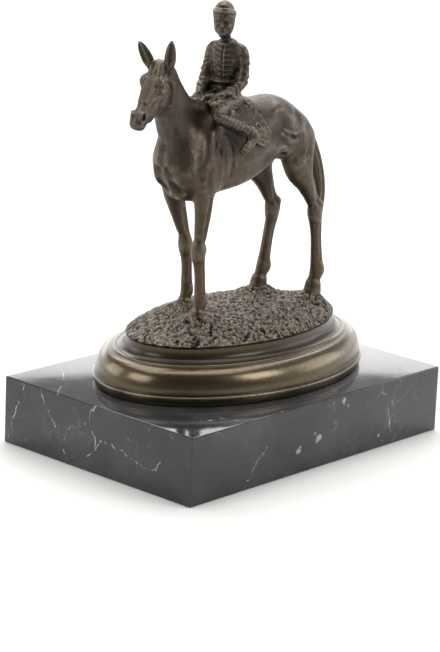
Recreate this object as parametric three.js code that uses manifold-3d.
import * as THREE from 'three';
import { LoftGeometry } from 'three/addons/geometries/LoftGeometry.js';
import { mergeVertices } from 'three/addons/utils/BufferGeometryUtils.js';
import Module from 'manifold-3d';

// Equestrian statuette: a race rider on a standing horse, cast in bronze,
// on a moulded oval base and a marble plinth.
// Millimetres, +Z up. The origin is the centre of the plinth's underside.
// The horse looks along -X and its left side is towards -Y.

// Marble plinth
const plinthLength = 204;
const plinthWidth = 142;
const plinthThickness = 38;
const plinthChamfer = 1.2;

// Clearance left between pieces that rest on or in each other
const restGap = 0.3;

// Oval base: its foot, the place of its centre on the plinth, and its mouldings.
// Each moulding has a height above the plinth and a distance in from the foot.
const baseLength = 179.6;
const baseWidth = 121.2;
const baseShiftX = 5.3;
const baseShiftY = 2.8;
const footHeight = 4.9;
const footStep = 1.7;
const torusHeight = 18.4;
const torusStep = 9.2;
const beadHeight = 20;
const beadStep = 11.4;
const coveHeight = 23;
const coveStep = 16.9;
const rimHeight = 29;
const rimStep = 17.9;

// Rough ground on the oval base
const groundRise = 9;
const groundRoughness = 0.55;
const moundRadius = 9;
const hoofSink = 1.6;
const pocketReach = 14;

// Horse and rider. The pose is given in shares of the height at the withers,
// so 120 units always reach from the ground to the withers.
const withersHeight = 120;
const unit = withersHeight / 120;

// Half sizes of the hooves, in units
const hoofAcross = 4.7 / unit;
const hoofDeep = 5.2 / unit;

// Saddle cloth, in units: how far it stands off the trunk, and its outline from the side
const clothLift = 1.3 / unit;
const clothFront = -29;
const clothRear = 4.4;
const clothBottom = 91.5;
const clothTop = 125;
const clothRound = 6;
const clothSlant = 3;

// The rider's own pose is in shares of the seated height, 54 units from seat to cap,
// and those are given in units of the horse.
const seatedHeight = 54;
const riderUnit = seatedHeight / 54 / unit;
const rightKneeDrop = 4.6;

// How finely the round forms are faceted
const trunkSides = 18;
const limbSides = 10;
const riderLimbSides = 8;
const ovalSides = 40;

const bronze = new THREE.MeshStandardMaterial({ color: 0x4b4137, roughness: 0.42, metalness: 0.9 });
const warmBronze = new THREE.MeshStandardMaterial({ color: 0x5d4f3c, roughness: 0.34, metalness: 0.9 });
const marble = new THREE.MeshStandardMaterial({ color: 0x25262a, roughness: 0.18, metalness: 0 });

const wasm = await Module();
wasm.setup();

/** A closed geometry as a solid that can be joined and cut. */
function toSolid(geometry) {
	const bare = new THREE.BufferGeometry();
	bare.setAttribute('position', geometry.attributes.position);
	bare.setIndex(geometry.index);
	const merged = mergeVertices(bare, 1e-4);
	const vertProperties = new Float32Array(merged.attributes.position.array);
	const triVerts = new Uint32Array(merged.index.array);
	return new wasm.Manifold(new wasm.Mesh({ numProp: 3, vertProperties, triVerts }));
}

/** A solid as a geometry. */
function toGeometry(solid) {
	const mesh = solid.getMesh();
	const geometry = new THREE.BufferGeometry();
	geometry.setAttribute('position', new THREE.BufferAttribute(new Float32Array(mesh.vertProperties), 3));
	geometry.setIndex(new THREE.BufferAttribute(new Uint32Array(mesh.triVerts), 1));
	geometry.computeVertexNormals();
	return geometry;
}

/** All solids of a list joined into one. */
function join(solids) {
	return solids.reduce((whole, solid) => whole.add(solid));
}

const lateral = new THREE.Vector3(0, 1, 0);

/**
 * A round form swept through stations. A station is [x, y, z, across, deep, egg]:
 * its centre, the half width along the side direction, the half depth along the
 * other, and how much narrower it is on its upper or forward side. Folds swell and
 * pinch the form as it goes along, each a share of its size, with their number.
 */
function sweep(stations, { sides = limbSides, steps = 1, side = lateral, folds = [0, 0] } = {}) {
	const centres = new THREE.CatmullRomCurve3(stations.map(([x, y, z]) => new THREE.Vector3(x, y, z)));
	const sizes = new THREE.CatmullRomCurve3(
		stations.map(([, , , across, deep, egg = 0]) => new THREE.Vector3(across, deep, egg)),
		false,
		'catmullrom',
		0.5,
	);
	const count = (stations.length - 1) * steps;
	const [foldCount, foldDepth] = folds;
	const sections = [];
	for (let i = 0; i <= count; i += 1) {
		const t = i / count;
		const size = sizes.getPoint(t);
		const swell = 1 + foldDepth * Math.cos(t * foldCount * Math.PI * 2);
		size.x *= swell;
		size.y *= swell;
		sections.push(section(centres.getPoint(t), centres.getTangent(t), side, size, sides));
	}
	return toSolid(new LoftGeometry(sections, { capStart: true, capEnd: true }));
}

/** One egg-shaped cross section. */
function section(centre, tangent, side, size, sides) {
	const across = side.clone().addScaledVector(tangent, -side.dot(tangent)).normalize();
	const deep = new THREE.Vector3().crossVectors(across, tangent).normalize();
	const points = [];
	for (let j = 0; j < sides; j += 1) {
		const angle = (j / sides) * Math.PI * 2;
		const lift = Math.cos(angle);
		const reach = Math.sin(angle) * size.x * (1 - size.z * lift);
		points.push(
			centre
				.clone()
				.addScaledVector(across, reach)
				.addScaledVector(deep, lift * size.y)
				.multiplyScalar(unit),
		);
	}
	return points;
}

/** A ball stretched to half sizes [x, y, z] and turned by Euler angles. */
function blob([x, y, z], [sx, sy, sz], [rx, ry, rz] = [0, 0, 0], rings = 6) {
	const geometry = new THREE.SphereGeometry(1, rings + 2, rings);
	geometry.scale(sx, sy, sz);
	geometry.rotateX(rx).rotateY(ry).rotateZ(rz);
	geometry.translate(x, y, z);
	geometry.scale(unit, unit, unit);
	return toSolid(geometry);
}

/** Trunk from the buttocks to the chest, from its top and bottom lines. */
function trunkStations() {
	const profile = [
		{ x: 53, top: 93, bottom: 82, half: 5, egg: 0 },
		{ x: 50, top: 98, bottom: 77, half: 10, egg: 0.1 },
		{ x: 42, top: 106.5, bottom: 76, half: 14.8, egg: 0.15 },
		{ x: 32, top: 113, bottom: 79, half: 17.2, egg: 0.15 },
		{ x: 21, top: 116, bottom: 78, half: 18.5, egg: 0.12 },
		{ x: 8, top: 114.5, bottom: 73, half: 19.5, egg: 0.12 },
		{ x: -6, top: 113, bottom: 69.5, half: 19.5, egg: 0.15 },
		{ x: -20, top: 115, bottom: 66, half: 18, egg: 0.22 },
		{ x: -33, top: 118, bottom: 63, half: 15.8, egg: 0.3 },
		{ x: -44, top: 115, bottom: 62.5, half: 14.2, egg: 0.25 },
		{ x: -52, top: 106, bottom: 68, half: 11.8, egg: 0.1 },
		{ x: -57.5, top: 97, bottom: 79, half: 7, egg: 0 },
	];
	return profile.map(({ x, top, bottom, half, egg }) => [
		x,
		0,
		(top + bottom) / 2,
		half,
		(top - bottom) / 2,
		egg,
	]);
}

/** Neck from between the shoulders to the poll, bent towards the left. */
const neckStations = [
	[-34, 0, 94, 10.5, 21, 0.3],
	[-45, 0, 103.7, 9.6, 16.5, 0.35],
	[-53, -0.6, 114.7, 7.8, 12.5, 0.35],
	[-59.7, -1.8, 126, 6.3, 9.8, 0.3],
	[-65.2, -3.2, 135, 5.5, 8.6, 0.2],
	[-68.5, -4, 139.6, 4.6, 6.5, 0.1],
];

// The head is turned to the left and dropped to about 40 degrees
const headTurn = THREE.MathUtils.degToRad(20);
const headDrop = THREE.MathUtils.degToRad(43);
const poll = new THREE.Vector3(-71, -4, 141.9);
const headSide = new THREE.Vector3(-Math.sin(headTurn), Math.cos(headTurn), 0);
const headLine = new THREE.Vector3(
	-Math.cos(headTurn) * Math.cos(headDrop),
	-Math.sin(headTurn) * Math.cos(headDrop),
	-Math.sin(headDrop),
);
const headFront = new THREE.Vector3().crossVectors(headSide, headLine);

/** A point of the head: along the face, in front of it and to its right. */
function onHead(along, front, right = 0) {
	return poll
		.clone()
		.addScaledVector(headLine, along)
		.addScaledVector(headFront, front)
		.addScaledVector(headSide, right);
}

/** Head from the poll to the lips, as [along, dip of the face line, across, deep]. */
function headStations() {
	const profile = [
		[-4, -3.5, 4, 3.5],
		[0, -1.2, 6, 7],
		[5.5, 0, 7.6, 9.3],
		[10.5, 0.2, 7.8, 10.5],
		[16, 0, 6.6, 9.8],
		[22, -0.4, 5.2, 7.4],
		[27, -0.5, 4.6, 6],
		[32, 0, 5, 5.4],
		[35.5, -0.5, 4.4, 4.5],
		[38, -2, 2.8, 2.6],
	];
	return profile.map(([along, dip, across, deep]) => {
		const centre = onHead(along, dip - deep);
		return [centre.x, centre.y, centre.z, across, deep, along < 20 ? -0.15 : 0.1];
	});
}

/** Eyes, cheeks and the flare of the nostrils, on both sides of the head. */
function headFeatures() {
	return [-1, 1].flatMap((hand) => {
		const spot = (along, front, right) => onHead(along, front, right * hand).toArray();
		return [
			blob(spot(9.3, -2.8, 6.5), [2.4, 2.1, 2.2]),
			blob(spot(14.5, -13, 3.6), [5.6, 3.4, 6.6], [0, 0.2, headTurn]),
			blob(spot(32.5, -2.8, 3), [1.9, 1.8, 2.3]),
		];
	});
}

/** An ear, a slim leaf standing on the head. */
function ear(right, lean) {
	const root = onHead(-0.6, -3, right);
	const rise = new THREE.Vector3(0, 0, 1).addScaledVector(headSide, lean).normalize();
	const stations = [
		[-4, 2, 2],
		[0, 2.2, 2],
		[3.5, 3.2, 2.2],
		[8, 2.9, 1.8],
		[12, 1.5, 1.1],
		[14.4, 0.3, 0.3],
	].map(([up, across, deep]) => {
		const centre = root.clone().addScaledVector(rise, up);
		return [centre.x, centre.y, centre.z, across, deep, 0];
	});
	return sweep(stations, { sides: 8, steps: 1, side: headSide });
}

/** A foreleg through elbow, knee, fetlock and toe. */
function foreleg({ elbow, knee, fetlock, toe }) {
	const [ex, ey, ez] = elbow;
	const [kx, ky, kz] = knee;
	const [fx, fy, fz] = fetlock;
	const [tx, ty, tz] = toe;
	const mix = (a, b, share) => a + (b - a) * share;
	const between = (share) => [mix(ex, kx, share), mix(ey, ky, share), mix(ez, kz, share)];
	const below = (share) => [mix(kx, fx, share), mix(ky, fy, share), mix(kz, fz, share)];
	return sweep([
		[ex + 2, ey * 0.75, ez + 14, 6, 10.5],
		[ex, ey, ez, 5.6, 8],
		[...between(0.35), 4.3, 6],
		[...between(0.72), 3, 3.9],
		[...between(0.93), 3.6, 3.9],
		[...below(0.04), 3.9, 4.3],
		[...below(0.2), 3, 3.5],
		[...below(0.5), 2.7, 3.3],
		[...below(0.85), 2.8, 3.4],
		[fx, fy, fz, 3.2, 3.9],
		[mix(fx, tx, 0.45), ty, mix(fz, tz, 0.4), 2.7, 3],
		[mix(fx, tx, 0.8), ty, mix(fz, tz, 0.62), 3.7, 4],
		[tx, ty, tz, hoofAcross - 0.2, hoofDeep - 0.2],
		[tx, ty, tz - hoofSink / unit, hoofAcross, hoofDeep],
	]);
}

/** A hind leg through stifle, hock, fetlock and toe. */
function hindleg({ hip, stifle, hock, fetlock, toe }) {
	const [hx, hy, hz] = hip;
	const [sx, sy, sz] = stifle;
	const [kx, ky, kz] = hock;
	const [fx, fy, fz] = fetlock;
	const [tx, ty, tz] = toe;
	const mix = (a, b, share) => a + (b - a) * share;
	return sweep([
		[hx, hy, hz, 6, 13],
		[sx, sy, sz, 6.5, 11.5],
		[mix(sx, kx, 0.4), mix(sy, ky, 0.4), mix(sz, kz, 0.4), 4.8, 7.6],
		[mix(sx, kx, 0.75), mix(sy, ky, 0.75), mix(sz, kz, 0.75), 3.4, 5],
		[kx + 1, ky, kz, 3.6, 5.4],
		[kx + 0.3, ky, kz - 5, 3.4, 4.8],
		[mix(kx, fx, 0.4), mix(ky, fy, 0.4), mix(kz, fz, 0.4), 2.8, 3.7],
		[mix(kx, fx, 0.8), mix(ky, fy, 0.8), mix(kz, fz, 0.8), 2.8, 3.6],
		[fx, fy, fz, 3.3, 4.1],
		[mix(fx, tx, 0.45), ty, mix(fz, tz, 0.4), 2.9, 3.3],
		[mix(fx, tx, 0.8), ty, mix(fz, tz, 0.62), 3.7, 4.2],
		[tx, ty, tz, hoofAcross - 0.2, hoofDeep - 0.2],
		[tx, ty, tz - hoofSink / unit, hoofAcross, hoofDeep],
	]);
}

/** The pocket in the ground that one hoof stands in. */
function hoofPocket({ toe: [x, y, z] }) {
	const across = hoofAcross + restGap / unit;
	const deep = hoofDeep + restGap / unit;
	const floor = z - (hoofSink + restGap) / unit;
	return sweep([
		[x, y, z + pocketReach, across, deep],
		[x, y, floor, across, deep],
	]);
}

// The four legs, named for the horse's own sides, each with the mound it stands in
const legs = {
	leftFore: {
		elbow: [-38.5, -11.5, 70],
		knee: [-41, -11, 38],
		fetlock: [-38.2, -11, 9.6],
		toe: [-39.8, -11, 0],
		mound: 5.2,
	},
	rightFore: {
		elbow: [-38, 11.5, 68],
		knee: [-27.2, 11, 36],
		fetlock: [-25.8, 11, 9.6],
		toe: [-28.4, 11, 0.5],
		mound: 4.2,
	},
	leftHind: {
		hip: [38, -9, 92],
		stifle: [38, -12, 76],
		hock: [55.8, -10.5, 48],
		fetlock: [58.9, -10.5, 12],
		toe: [56, -10.5, 0.3],
		mound: 6,
	},
	rightHind: {
		hip: [33, 9, 92],
		stifle: [31, 12, 75],
		hock: [43, 10.5, 48],
		fetlock: [38.2, 10.5, 14],
		toe: [33.8, 10.5, 2.6],
		mound: 5.5,
	},
};

/** Tail hanging behind the hocks. */
const tailStations = [
	[47, 0, 96, 3, 3],
	[53.5, 0, 93, 3, 3],
	[58.6, 0, 85, 3.2, 3.2],
	[63.4, 0, 73, 3.5, 3.6],
	[66.6, 0, 60, 3.6, 3.8],
	[67.4, 0, 48, 3, 3.4],
	[65.5, 0, 38, 1.9, 2.2],
	[63.5, 0, 33, 0.6, 0.8],
];

// The rider sits here; the points of the rider are taken from the seat, in rider units.
// The body is turned a little to the left and the face a little more.
const seat = new THREE.Vector3(-13, 0, 115.5);
const bodyTurn = THREE.MathUtils.degToRad(20);
const bodySide = new THREE.Vector3(-Math.sin(bodyTurn), Math.cos(bodyTurn), 0);
const faceTurn = THREE.MathUtils.degToRad(32);
const faceSide = new THREE.Vector3(-Math.sin(faceTurn), Math.cos(faceTurn), 0);

/** Moves rider stations, given from the seat, to the saddle. */
function seated(stations, { side = bodySide, ...options } = {}) {
	const placed = stations.map(([x, y, z, ...sizes]) => [
		seat.x + x * riderUnit,
		seat.y + y * riderUnit,
		seat.z + z * riderUnit,
		...sizes.map((size, index) => (index < 2 ? size * riderUnit : size)),
	]);
	return sweep(placed, { side, ...options });
}

/** Torso, head, arms and legs of the rider. */
function rider() {
	const torso = seated(
		[
			[0, 0, -3, 8.5, 7.5],
			[0.4, 0.3, 3, 9, 7.6],
			[0.4, 1, 9, 8.5, 7],
			[0.2, 0.6, 16, 8.2, 6.8],
			[-0.2, 0.2, 23, 8.4, 6.6],
			[0, 0, 28.5, 9, 5.8],
			[-0.2, 0, 31.6, 7.4, 4.6],
			[-1, 0, 33.4, 3.4, 3.4],
			[-2, 0, 37, 3, 3.1],
		],
		{ sides: 12, steps: 2, folds: [8, 0.03] },
	);
	const head = seated(
		[
			[-3.6, -0.5, 35.6, 2.4, 3],
			[-3.8, -0.5, 38.2, 4.4, 5.4],
			[-3.6, -0.4, 43, 5.7, 6.8],
			[-3.6, -0.3, 47.5, 6.2, 7.2],
			[-3.6, -0.3, 49.8, 6.3, 7.3],
			[-3.5, -0.3, 53, 5, 5.8],
			[-3.4, -0.3, 54.8, 1.8, 2.2],
		],
		{ side: faceSide, sides: 12 },
	);
	return join([torso, head, ...headDetails(), ...arms(), ...riderLegs()]);
}

/** A point about the rider's head: in front of its axis, to its right, above the chin. */
function onFace(front, right, up) {
	const faceFront = new THREE.Vector3(-Math.cos(faceTurn), -Math.sin(faceTurn), 0);
	return new THREE.Vector3(-3.6, -0.4, 36)
		.addScaledVector(faceFront, front)
		.addScaledVector(faceSide, right)
		.add(new THREE.Vector3(0, 0, up))
		.multiplyScalar(riderUnit)
		.add(seat)
		.toArray();
}

/** Peak and band of the cap, nose, chin, ears and collar. */
function headDetails() {
	const sized = (sizes) => sizes.map((size) => size * riderUnit);
	return [
		blob(onFace(4.8, 0, 12.4), sized([4, 4.6, 0.7]), [0, 0.12, faceTurn]),
		blob(onFace(6.6, 0, 7.4), sized([1.2, 0.9, 1.9]), [0, -0.25, faceTurn]),
		blob(onFace(5.2, 0, 2.2), sized([1.6, 1.8, 1.4]), [0, 0, faceTurn]),
		blob(onFace(-0.6, -5.6, 7.6), sized([1.4, 0.7, 1.8]), [0, 0, faceTurn]),
		blob(onFace(-0.6, 5.6, 7.6), sized([1.4, 0.7, 1.8]), [0, 0, faceTurn]),
		seated([
			[-1, 0, 31.6, 4.4, 4.4],
			[-1.4, 0, 33.8, 3.9, 4],
		]),
	];
}

/** The arms, reaching forward to the reins above the withers. */
function arms() {
	const rightArm = [
		[-1.6, 6.5, 31, 1.8, 1.8],
		[-2.2, 8.8, 29, 2.8, 2.9],
		[-3.4, 9, 22, 3.3, 3.2],
		[-4.6, 8.7, 15, 3.3, 3.2],
		[-8.6, 7.6, 9, 2.7, 2.6],
		[-15.5, 5, 4.4, 1.8, 1.9],
		[-19.5, 2.6, 2.2, 1.5, 2],
		[-21.5, 1.2, 0.3, 0.8, 1.2],
	];
	const leftArm = [
		[1.6, -6.5, 31, 1.8, 1.8],
		[2, -9.5, 29, 2.8, 2.9],
		[2, -11, 21.5, 2.7, 2.8],
		[-1, -12, 12.5, 2.4, 2.6],
		[-6, -10.5, 9, 2.2, 2.2],
		[-13, -7, 6, 1.8, 1.9],
		[-18, -3.8, 3.2, 1.5, 2],
		[-20, -2, 1.5, 0.9, 1.3],
	];
	return [rightArm, leftArm].map((stations) => seated(stations, { sides: riderLimbSides }));
}

/** The legs, bent sharply at the knees; the right one hangs a little lower. */
function riderLegs() {
	return [-1, 1].map((hand) => {
		const drop = hand > 0 ? rightKneeDrop : 0;
		const thigh = [
			[3, 4 * hand, 1 - 0.1 * drop, 5, 5],
			[-6, 8.5 * hand, 1.6 - 0.45 * drop, 4.8, 5],
			[-18, 13 * hand, 1.8 - 0.9 * drop, 4, 4.2],
			[-26, 16 * hand, 1.2 - drop, 3.3, 3.4],
			[-29, 17 * hand, -0.2 - drop, 2.4, 2.4],
		];
		const shin = [
			[-29.5, 17 * hand, 0.4 - drop, 2.2, 2.2],
			[-26, 18 * hand, -2 - drop, 3.2, 3.2],
			[-16, 20.5 * hand, -6.6 - drop, 2.8, 3],
			[-6, 23 * hand, -11.2 - drop, 2.2, 2.2],
			[-1.5, 24 * hand, -13.5 - drop, 2.2, 2.2],
		];
		const boot = [
			[0.4, 24 * hand, -12.6 - drop, 2, 2],
			[0, 24.2 * hand, -15.4 - drop, 2.3, 2.6],
			[-5, 25 * hand, -18.2 - drop, 2.2, 2.3],
			[-11.4, 25.6 * hand, -21.6 - drop, 2, 1.7],
			[-13.6, 25.6 * hand, -22.8 - drop, 0.9, 0.8],
		];
		return join([thigh, shin, boot].map((stations) => seated(stations, { sides: riderLimbSides })));
	});
}

/** Saddle and its cloth: the trunk grown a little and cut to the cloth's outline. */
function saddle() {
	const grown = trunkStations().map(([x, y, z, across, deep, egg]) => [
		x,
		y,
		z,
		across + clothLift,
		deep + clothLift,
		egg,
	]);
	const shell = sweep(grown, { sides: trunkSides });
	const outline = new THREE.Shape();
	outline.moveTo(clothFront, clothTop);
	outline.lineTo(clothFront, clothBottom + clothRound);
	outline.quadraticCurveTo(clothFront, clothBottom, clothFront + clothRound, clothBottom);
	outline.lineTo(clothRear - clothRound, clothBottom);
	outline.quadraticCurveTo(clothRear, clothBottom, clothRear, clothBottom + clothRound);
	outline.lineTo(clothRear - clothSlant, clothTop);
	outline.closePath();
	const depth = 4 * Math.max(...grown.map((station) => station[3]));
	const cutter = new THREE.ExtrudeGeometry(outline, { depth, bevelEnabled: false, curveSegments: 4 });
	cutter.translate(0, 0, -depth / 2).rotateX(Math.PI / 2);
	cutter.scale(unit, unit, unit);
	const cantle = blob([1, 0, 116.5], [4, 7.5, 3.2], [0, -0.4, 0]);
	const pommel = blob([-23, 0, 121], [5.5, 7, 4.4]);
	return join([shell.intersect(toSolid(cutter)), cantle, pommel]);
}

/** How far out the trunk's surface stands at a place along it and a height. */
function trunkReach(x, z) {
	const stations = trunkStations();
	const after = stations.findIndex((station) => station[0] <= x);
	const [a, b] = [stations[after - 1], stations[after]];
	const share = (x - a[0]) / (b[0] - a[0]);
	const [, , centre, half, deep, egg] = a.map((value, index) => value + (b[index] - value) * share);
	const lift = THREE.MathUtils.clamp((z - centre) / deep, -0.98, 0.98);
	return half * (1 - egg * lift) * Math.sqrt(1 - lift * lift);
}

/** Upright folds on the shoulders, in front of the rider's shins. */
function shoulderFolds() {
	const foldPlaces = [-43.2, -38.4, -33.6, -28.4];
	const foldLevels = [106, 99, 92, 85];
	const folds = [];
	for (const hand of [-1, 1]) {
		for (const x of foldPlaces) {
			const stations = foldLevels.map((z, level) => {
				const size = level === 0 || level === foldLevels.length - 1 ? 0.8 : 1.7;
				return [x, (trunkReach(x, z) - 0.4) * hand, z, size, size];
			});
			folds.push(sweep(stations, { sides: 5 }));
		}
	}
	return folds;
}

/** Tuft of hair between the ears. */
function forelock() {
	return [-1, 0, 1].map((lock) => {
		const root = onHead(-1, -1.6, lock * 1.6).toArray();
		const middle = onHead(3.5, -0.2, lock * 2.4).toArray();
		const tip = onHead(8, 0, lock * 1.4).toArray();
		const stations = [
			[...root, 1.4, 1.2],
			[...middle, 1.2, 1],
			[...tip, 0.3, 0.3],
		];
		return sweep(stations, { sides: 6, side: headSide });
	});
}

/** Groups of muscle that stand out on the horse. */
function muscles() {
	return [-1, 1].flatMap((hand) => [
		blob([-48, 7.5 * hand, 89], [9, 6.8, 13], [0, 0.35, 0], 8),
		blob([-37, 10.5 * hand, 84], [9, 6, 12], [0, -0.5, 0], 8),
		blob([38.6, 8.6 * hand, 90], [9.5, 6.6, 13], [0, 0.35, 0], 8),
	]);
}

/** The whole figure in one solid. */
function horseAndRider() {
	const parts = [
		sweep(trunkStations(), { sides: trunkSides }),
		sweep(neckStations, { sides: 14 }),
		sweep(headStations(), { sides: 14, side: headSide }),
		...headFeatures(),
		ear(-6, -0.06),
		ear(4.4, 0.6),
		sweep(tailStations, { sides: 8 }),
		foreleg(legs.leftFore),
		foreleg(legs.rightFore),
		hindleg(legs.leftHind),
		hindleg(legs.rightHind),
		...muscles(),
		...shoulderFolds(),
		...forelock(),
		saddle(),
		rider(),
	];
	return join(parts);
}

/** Height of the rough ground above the plinth, at a place from the base's centre. */
function groundHeight(x, y) {
	const reach = Math.hypot(x / (baseLength / 2 - rimStep), y / (baseWidth / 2 - rimStep));
	const dome = rimHeight + groundRise * (1 - reach ** 3.4);
	const mounds = Object.values(legs).map(({ toe: [tx, ty], mound }) => {
		const away = Math.hypot(x - tx * unit, y - ty * unit) / moundRadius;
		return mound * Math.exp(-away * away);
	});
	const wander = (along, across) => Math.sin(along * 0.6 + 1.2 * Math.sin(across * 0.35));
	const lumps = wander(x, y) * wander(y, x);
	return dome + Math.max(...mounds) + groundRoughness * lumps * Math.min(1, 2 * reach);
}

/** One oval ring of the base at a distance in from the foot. */
function ring(step, height) {
	const points = [];
	for (let i = 0; i < ovalSides; i += 1) {
		const angle = (i / ovalSides) * Math.PI * 2;
		const x = Math.cos(angle) * (baseLength / 2 - step);
		const y = Math.sin(angle) * (baseWidth / 2 - step);
		points.push(new THREE.Vector3(x, y, typeof height === 'function' ? height(x, y) : height));
	}
	return points;
}

/** Profile of the mouldings from the underside to the rim, as [step in, height]. */
function mouldingProfile() {
	const torus = [0.15, 0.42, 0.7, 0.9, 1].map((share) => {
		const angle = (share * Math.PI) / 2;
		return [
			footStep + 0.3 + (torusStep - footStep) * (1 - Math.cos(angle)),
			footHeight + 0.6 + (torusHeight - footHeight) * Math.sin(angle),
		];
	});
	return [
		[0.7, restGap],
		[0, 1.1],
		[0, footHeight - 1],
		[0.6, footHeight - 0.1],
		[footStep, footHeight + 0.2],
		...torus,
		[beadStep - 1, beadHeight - 0.9],
		[beadStep - 0.7, beadHeight],
		[beadStep + 0.3, beadHeight + 0.1],
		[beadStep + 0.9, beadHeight - 0.2],
		[coveStep - 2.2, beadHeight + 0.9],
		[coveStep - 0.4, coveHeight - 0.8],
		[coveStep + 0.5, coveHeight + 1.6],
		[rimStep, rimHeight],
	];
}

/** Mouldings and rough ground of the oval base. */
function ovalBase() {
	const rings = mouldingProfile().map(([step, height]) => ring(step, height));
	for (const share of [0.96, 0.88, 0.78, 0.66, 0.54, 0.42, 0.28, 0.14, 0.04]) {
		const outer = ring(rimStep, (x, y) => groundHeight(x * share, y * share));
		rings.push(outer.map((point) => new THREE.Vector3(point.x * share, point.y * share, point.z)));
	}
	return toSolid(new LoftGeometry(rings, { capStart: true, capEnd: true }));
}

/** Marble slab with its edges broken by a small chamfer. */
function plinth() {
	const corner = (inset, z) => {
		const x = plinthLength / 2 - inset;
		const y = plinthWidth / 2 - inset;
		const cut = plinthChamfer - inset / 2;
		return [
			[x, y - cut],
			[x - cut, y],
			[-x + cut, y],
			[-x, y - cut],
			[-x, -y + cut],
			[-x + cut, -y],
			[x - cut, -y],
			[x, -y + cut],
		].map(([px, py]) => new THREE.Vector3(px, py, z));
	};
	const sections = [
		corner(plinthChamfer, 0),
		corner(0, plinthChamfer),
		corner(0, plinthThickness - plinthChamfer),
		corner(plinthChamfer, plinthThickness),
	];
	return new LoftGeometry(sections, { capStart: true, capEnd: true });
}

/** A mesh with its name and material. */
function named(name, geometry, material) {
	const mesh = new THREE.Mesh(geometry, material);
	mesh.name = name;
	return mesh;
}

const statuette = new THREE.Group();
const standing = new THREE.Group();
standing.position.set(baseShiftX, baseShiftY, plinthThickness);

const groundLevel = rimHeight + groundRise;
const figure = horseAndRider().translate([0, 0, groundLevel]);
const pockets = join(Object.values(legs).map(hoofPocket)).translate([0, 0, groundLevel]);
const base = ovalBase().subtract(pockets);

standing.add(named('oval_base', toGeometry(base), warmBronze));
standing.add(named('horse_and_rider', toGeometry(figure), bronze));
statuette.add(standing);
statuette.add(named('marble_plinth', toGeometry(toSolid(plinth())), marble));

export default statuette;
